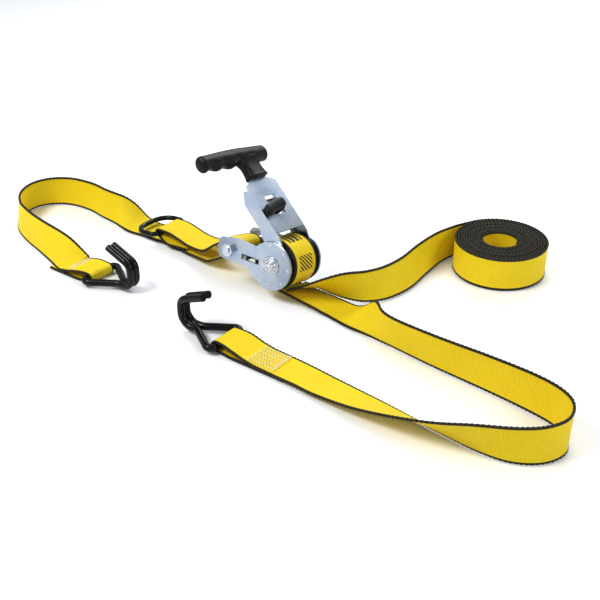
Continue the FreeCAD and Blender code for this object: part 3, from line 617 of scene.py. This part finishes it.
keeperRows = []
level = vec(0, 1, 0)
halfTurn = unit(axleLine + level)
for x, z in keeperShape["under"]:
    keeperRows.append((vec(x, 15 - (x + 148) * -0.1, z), level))
for degrees in np.linspace(-90, -270, 9):
    turned = math.radians(degrees)
    keeperRows.append((ringBar + vec(math.cos(turned), 0, math.sin(turned)) * keeperShape["ringOut"], level))
for point in keeperShape["over"]:
    keeperRows.append((vec(*point), level))
keeperRows.append((vec(-90, 4, 33.2), halfTurn))
keeperRows.append((boltMiddle + vec(-8, 0, 0) + ratchetUp * (keeperShape["boltOut"] - 0.6), axleLine))
for degrees in np.linspace(90, -90, 9):
    keeperRows.append((boltPoint(degrees), axleLine))
keeperRows.append((vec(-76, 3, 23.0), halfTurn))
keeperRows.append((vec(-106, 6.4, 7.4), level))
keeperRows = np.array([np.concatenate([point, width]) for point, width in keeperRows])
rows = smoothRows(keeperRows, keeperShape["step"])
keeper, keeperLength = strip("ring_keeper_web", rows[:, :3] * mm, rows[:, 3:], webbing)
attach(keeper, "base")
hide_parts("ring_keeper_strap", "ring_keeper_tuck", "ring_keeper_bend", "bolt_strap_turn",
            "short_strap_lead")
print("stage: keeper", round(keeperLength, 3))

# T-grip.
gripSettings = {
    "x": 27.0, "z": 119.0, "low": -72.0, "high": 34.0, "radius": 10.0, "flatten": 0.88, "swell": 0.07,
    "rows": 121, "sides": 40, "endShare": 0.04, "fingerStep": 21.0, "fingerFrom": -70, "fingerTo": 14,
    "fingerDeep": 0.22,
}


# The bar's radius is its own size less four finger hollows on its underside, closed by rounded ends.
def gripMesh():
    g = gripSettings
    t = np.linspace(0, 1, g["rows"])
    ys = g["low"] + (g["high"] - g["low"]) * t
    pastEnd = np.clip((np.abs(t - 0.5) - (0.5 - g["endShare"])) / g["endShare"], 0, 1)
    endRound = np.sqrt(np.clip(1 - pastEnd ** 2, 0.0025, 1))
    angles = np.linspace(0, 2 * math.pi, g["sides"], endpoint=False)
    under = np.clip(-np.sin(angles), 0, 1) ** 0.8
    fingers = 0.5 - 0.5 * np.cos((ys - g["fingerFrom"]) / g["fingerStep"] * 2 * math.pi)
    fingers = fingers * (ys < g["fingerTo"]) * (ys > g["fingerFrom"])
    middle = (g["low"] + g["high"]) / 2
    swell = 1.0 + g["swell"] * np.cos((ys - middle) / (g["high"] - g["low"]) * 2 * math.pi)
    hollow = g["fingerDeep"] * fingers[:, None] * under[None, :]
    radius = g["radius"] * endRound[:, None] * (swell[:, None] - hollow)
    x = g["x"] + g["flatten"] * radius * np.cos(angles)[None, :]
    z = g["z"] + radius * np.sin(angles)[None, :]
    points = (axlePoint + armOut * x[..., None] * mm + axleLine * (ys[:, None, None] * mm)
              + armLine * z[..., None] * mm)
    return points.reshape(-1, 3), [face[::-1] for face in closedFaces(g["rows"], g["sides"])]


# Superellipse rings, each with its centre, half sizes and axes, from first to last, with closed ends.
def roundedLoft(sections, sides=36, power=4.0):
    angles = np.linspace(0, 2 * math.pi, sides, endpoint=False)
    cosines, sines = np.cos(angles), np.sin(angles)
    rings = []
    for centre, first, second in sections:
        grow = (np.abs(cosines) ** power + np.abs(sines) ** power) ** (-1 / power)
        rings.append(centre + np.outer(grow * cosines, first) + np.outer(grow * sines, second))
    points = np.vstack(rings)
    return points, closedFaces(len(sections), sides)


neckSettings = {"x": 27, "from": 90.5, "to": 116.0, "rows": 24, "half": 14.6, "waist": 1.6, "spread": 5.0,
                "deep": 6.4, "deepWave": 0.8, "deepSpread": 2.4, "lip": 0.6, "lipAt": 0.06,
                "firstShare": 0.86}


# A collar at the arm that waists and then spreads into the bar.
def neckMesh():
    g = neckSettings
    rows = []
    for share in np.linspace(0, 1, g["rows"]):
        z = g["from"] + (g["to"] - g["from"]) * share
        lip = g["lip"] * math.exp(-((share - g["lipAt"]) / 0.05) ** 2)
        half = g["half"] - g["waist"] * math.sin(share * math.pi) + g["spread"] * share ** 5 + lip
        deep = g["deep"] + g["deepWave"] * math.cos(share * 4) + g["deepSpread"] * share ** 4 + lip
        small = g["firstShare"] if share == 0 else 1.0
        rows.append((armPoint(g["x"], 0, z), armOut * deep * small * mm, axleLine * half * small * mm))
    return roundedLoft(rows)


points, faces = joinParts([gripMesh(), neckMesh()])
handGrip = newPiece("hand_grip", points, faces, grip)
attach(handGrip, "handle")
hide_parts("t_grip")

# Release tab.
tabSettings = {"x": 33.5, "from": 8.0, "length": 34.0, "z": 54.0, "drop": 6.5, "bend": 3.2, "deep": 4.3,
               "tall": 5.6, "swell": 0.9, "endShare": 0.14, "startShare": 0.08}
stemSettings = {"from": 22.2, "to": 33.0, "z": 50.8, "half": 6.6, "tall": 4.4}


# A pad whose size falls as a quarter circle at each end: the root of one less the square of the share
# past it.
def tabRow(share):
    g = tabSettings
    pastEnd = max((share - (1 - g["endShare"])) / g["endShare"], 0)
    beforeStart = max((g["startShare"] - share) / g["startShare"], 0)
    size = math.sqrt(max(1 - pastEnd ** 2, 0.02)) * math.sqrt(max(1 - beforeStart ** 2, 0.1))
    bend = g["bend"] * math.sin(share * math.pi * 0.9)
    tall = g["tall"] + g["swell"] * math.sin(share * math.pi)
    place = armPoint(g["x"] - 0.4 * bend, g["from"] - g["length"] * share, g["z"] - g["drop"] * share ** 2)
    return place, armOut * g["deep"] * size * mm, armLine * tall * size * mm


def stemRow(x):
    g = stemSettings
    return armPoint(x, 0, g["z"]), axleLine * g["half"] * mm, armLine * g["tall"] * mm


tabRows = [tabRow(share) for share in np.linspace(0, 1, 26)]
tabStem = [stemRow(x) for x in np.linspace(stemSettings["from"], stemSettings["to"], 8)]
points, faces = joinParts([roundedLoft(tabRows, 30, 3.0), roundedLoft(tabStem, 28, 5.0)])
tab = newPiece("finger_tab", points, faces, grip)
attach(tab, "drive_pawl")
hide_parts("release_tab")
print("stage: grip and tab")


# Hub caps: a profile of radius and height turned about the axle.
def lathe(profile, side, sides=64):
    angles = np.linspace(0, 2 * math.pi, sides, endpoint=False)
    rings = []
    for reach, height in profile:
        rings.append([ratchetPoint(reach * math.cos(a), side * height, reach * math.sin(a)) for a in angles])
    points = np.array(rings).reshape(-1, 3)
    return points, closedFaces(len(profile), sides)


# Millimetres from the middle plane to a plate's outer face, and each ring's radius and height above it.
plateOut = 28.2
capProfile = [
    (11, 0.1), (11, 0.9), (10.6, 1.25), (9.3, 1.35), (8.9, 1.0), (8.3, 1.0), (8.0, 1.5), (7.9, 2.2),
    (7.5, 2.55), (6.2, 2.6), (5.9, 2.35), (5.3, 2.35), (5.1, 2.9), (5.0, 3.6), (4.7, 3.95), (3.0, 4.0),
    (2.4, 3.75), (1.6, 3.75), (1.3, 4.4), (0.9, 4.75), (0.3, 4.8),
]
for side, name in ((-1, "near"), (1, "far")):
    points, faces = lathe([(reach, plateOut + height) for reach, height in capProfile], side)
    cap = newPiece("hub_face_" + name, points, faces, zincBright)
    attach(cap, "spool")
    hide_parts("hub_cap_" + name, "hub_pin_" + name)

# Pressed studs round each plate's head.
studSettings = {"reach": 22.3, "radius": 1.5, "height": 0.55, "angles": (100, 48, 2, -44, -92, -132),
                "sides": 20, "shares": (1.0, 0.92, 0.7, 0.4, 0.08), "sunk": 0.05}


# A low dome: height falls as a quarter circle of radius.
def stud(angle, side):
    g = studSettings
    turned = math.radians(angle)
    around = np.linspace(0, 2 * math.pi, g["sides"], endpoint=False)
    rings = []
    for share in g["shares"]:
        height = plateOut + g["height"] * math.sqrt(1 - share ** 2) - g["sunk"]
        x = g["reach"] * math.cos(turned) + g["radius"] * share * np.cos(around)
        z = g["reach"] * math.sin(turned) + g["radius"] * share * np.sin(around)
        rings.append([ratchetPoint(across, side * height, up) for across, up in zip(x, z)])
    return np.array(rings).reshape(-1, 3), closedFaces(len(rings), g["sides"])


for side, name in ((-1, "near"), (1, "far")):
    points, faces = joinParts([stud(angle, side) for angle in studSettings["angles"]])
    studs = newPiece("plate_studs_" + name, points, faces, zincBright)
    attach(studs, "base")

# Coil springs.
springShape = {"radius": 2.6, "wire": 0.42, "endGap": 0.03, "pointsPerTurn": 30, "bunching": -0.14,
               "sides": 7}


# A wire that circles the line between two ends while it moves along it.
def coil(name, node, body, fixedEnd, freeEnd, turns):
    shape = springShape
    t = np.linspace(0, 1, turns * shape["pointsPerTurn"])
    line = freeEnd - fixedEnd
    across = unit(np.cross(line, axleLine))
    travel = t + shape["bunching"] / turns * np.sin(2 * math.pi * t)
    turned = 2 * math.pi * turns * t
    circle = across * np.cos(turned)[:, None] + axleLine * np.sin(turned)[:, None]
    inside = shape["endGap"] + (1 - 2 * shape["endGap"]) * travel[:, None]
    points = fixedEnd + line * inside + shape["radius"] * mm * circle
    spring = newPiece(name, *tube(points, shape["wire"] * mm, shape["sides"]), zincBright)
    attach(spring, body)
    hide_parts(node)
    tuple(unit(line))
    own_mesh(spring)


coil("drive_spring_coil", "drive_pawl_spring", "handle",
     armPoint(14.7, 0, 65.1), armPoint(14.7, 0, 47.1), 8)
coil("lock_spring_coil", "lock_pawl_spring", "base",
     ratchetPoint(-45.6, 0, 0), ratchetPoint(-35.3, 0, 0), 6)

# Finishes of the CAD pieces; the darker zinc on the inner parts is painted shade.
finishesAndShade = {
    zinc: ("base_plate_near", "base_plate_far", "handle_channel"),
    zincBright: ("strap_bolt", "strap_nut", "bolt_sleeve"),
    zincShaded: ("lock_pawl", "frame_crossbar", "spool_half_front", "spool_half_rear",
               "ratchet_wheel_near", "ratchet_wheel_far", "drive_pawl", "handle_crossbar"),
    coating: ("long_hook", "short_hook", "d_ring"),
}
for material, nodes in finishesAndShade.items():
    for node in nodes:
        for slot in frame["nodes"][node].material_slots:
            slot.material = material

# Rounded wire tips and softened plate edges.
bevels = {"long_hook": 1.7, "short_hook": 1.7, "base_plate_near": 0.5, "base_plate_far": 0.5,
          "handle_channel": 0.5, "strap_nut": 0.5, "strap_bolt": 0.5}
for node, width in bevels.items():
    bevel = frame["nodes"][node].modifiers.new("softEdge", "BEVEL")
    bevel.width = width * mm
    bevel.segments = 3
    bevel.limit_method = "ANGLE"
    bevel.angle_limit = math.radians(40)
print("stage: finishes")

# Floor.
floorPaint = Paint("floor", Roughness=0.6)
tint = floorPaint.noise(floorPaint.place(), 3.0)
floorPaint.feed("Base Color", floorPaint.mix(tint, (0.93, 0.93, 0.93, 1), (0.96, 0.96, 0.96, 1)))
floorShape = {"half": 6.0, "z": -0.0006}
corners = [(x * floorShape["half"], y * floorShape["half"], floorShape["z"])
           for x, y in ((-1, -1), (1, -1), (1, 1), (-1, 1))]
floor = newPiece("floor", corners, [(0, 1, 2, 3)], floorPaint.material, None, False)
